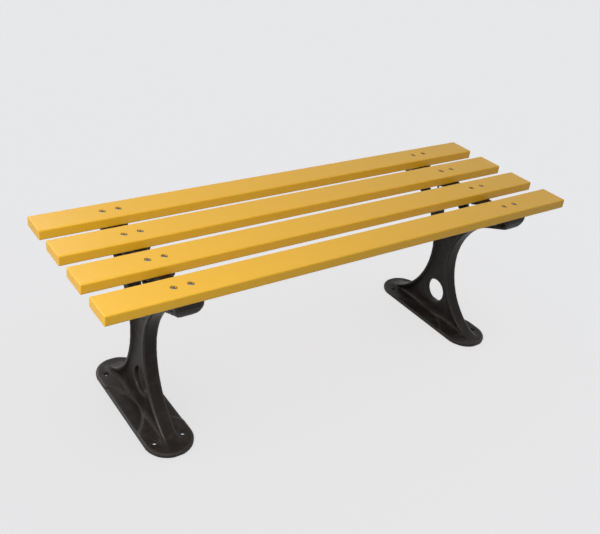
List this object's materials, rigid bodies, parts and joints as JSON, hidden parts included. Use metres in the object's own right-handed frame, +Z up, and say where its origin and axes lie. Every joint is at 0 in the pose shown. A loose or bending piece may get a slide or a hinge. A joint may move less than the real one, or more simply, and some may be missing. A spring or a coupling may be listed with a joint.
{
  "type": "backless bench",
  "caption": "Backless street bench: long flat yellow slats bolted across waisted black cast legs that stand on rounded base plates with anchor holes.",
  "frame": {"origin": "on the ground below the middle of the seat", "axes": "+X along the slats, +Y across the seat towards the rear slat, +Z up"},
  "size_m": [1.2, 0.4, 0.408],
  "materials": {
    "slat": "smooth yellow paint, satin",
    "casting": "black paint, satin, over a cast skin",
    "bolt_steel": "bare stainless steel, machined",
    "washer_steel": "stamped stainless steel",
    "nut_steel": "stainless steel"
  },
  "bodies": {
    "root": {"slat_rear": "slat", "slat_mid_rear": "slat", "slat_mid_front": "slat", "slat_front": "slat", "leg_left": "casting", "leg_right": "casting", "bolts_rear": "bolt_steel", "bolts_mid_rear": "bolt_steel", "bolts_mid_front": "bolt_steel", "bolts_front": "bolt_steel", "head_washers_rear": "washer_steel", "head_washers_mid_rear": "washer_steel", "head_washers_mid_front": "washer_steel", "head_washers_front": "washer_steel", "nut_washers_rear": "washer_steel", "nut_washers_mid_rear": "washer_steel", "nut_washers_mid_front": "washer_steel", "nut_washers_front": "washer_steel", "nuts_rear": "nut_steel", "nuts_mid_rear": "nut_steel", "nuts_mid_front": "nut_steel", "nuts_front": "nut_steel"}
  },
  "joints": []
}
